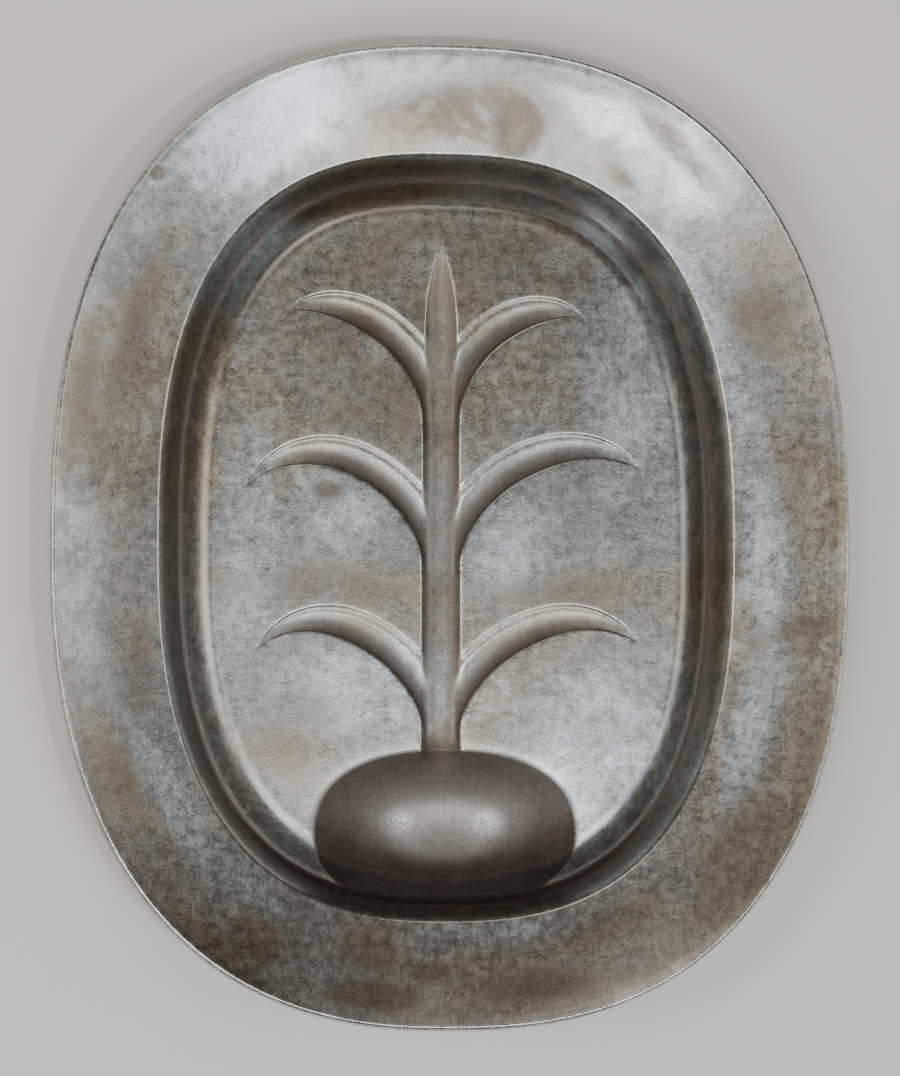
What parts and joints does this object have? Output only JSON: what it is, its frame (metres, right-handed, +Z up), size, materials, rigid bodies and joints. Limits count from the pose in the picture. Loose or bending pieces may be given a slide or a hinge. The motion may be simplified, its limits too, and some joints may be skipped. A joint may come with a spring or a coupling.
{
  "type": "well-and-tree meat platter",
  "caption": "Oval metal serving platter with a wide sloping rim, a juice gutter and a tree of grooves that drains to an oval well.",
  "frame": {"origin": "middle of the plane that the platter rests on, below the middle of its outline", "axes": "+Z up, out of the dish; +Y along the platter, from the well to the tree's tip; +X across it"},
  "size_m": [0.2432, 0.298, 0.0235],
  "materials": {
    "dull_aluminium": "worn satin, dulled grey with water marks and fine scratches"
  },
  "bodies": {
    "root": {"platter": "dull_aluminium"}
  },
  "joints": []
}
